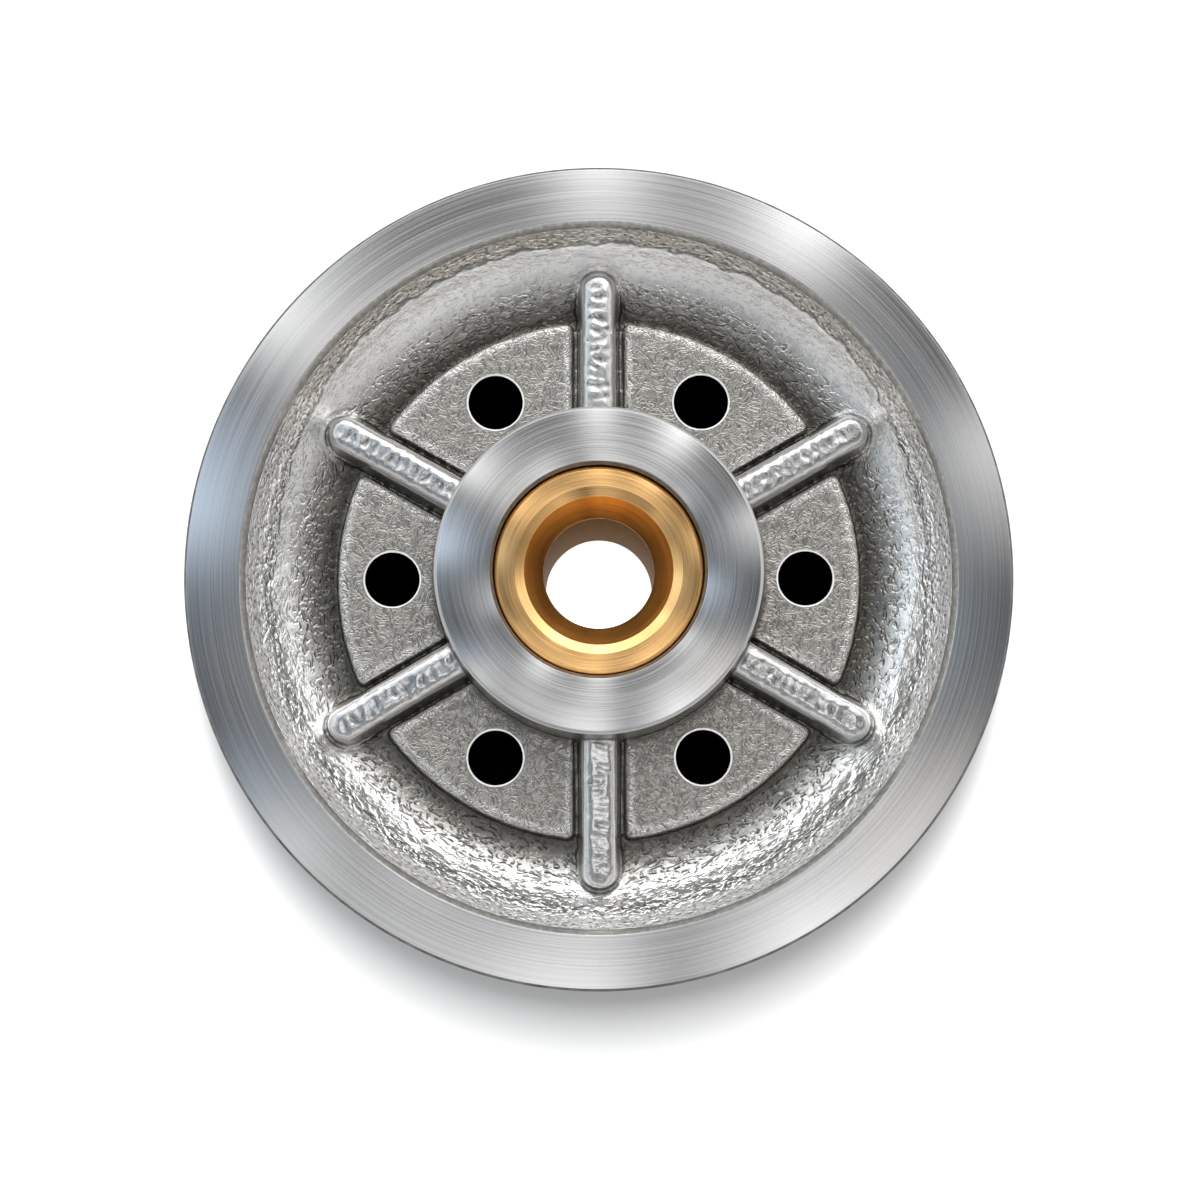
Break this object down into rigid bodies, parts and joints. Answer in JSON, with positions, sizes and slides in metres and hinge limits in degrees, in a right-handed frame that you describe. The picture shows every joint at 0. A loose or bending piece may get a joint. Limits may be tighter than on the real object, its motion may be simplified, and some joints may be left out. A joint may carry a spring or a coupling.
{
  "type": "wire rope pulley",
  "caption": "Grooved sheave wheel for wire rope: a ribbed aluminium casting with a turned rim, lightening holes in its web and a pressed-in bronze bush.",
  "frame": {"origin": "on the bore's axis, at the wheel's mid-plane", "axes": "+Z along the bore, out of the side that the picture shows; one rib lies along +Y; both sides are alike"},
  "size_m": [0.15, 0.15, 0.045],
  "materials": {
    "cast_aluminium": "as cast in the dish, on the ribs and on the pads; turned bright on the rim, the hub ends and in the rope groove",
    "bronze": "turned bearing bronze"
  },
  "bodies": {
    "root": {"sheave_wheel": "cast_aluminium", "bronze_bush": "bronze"}
  },
  "joints": []
}
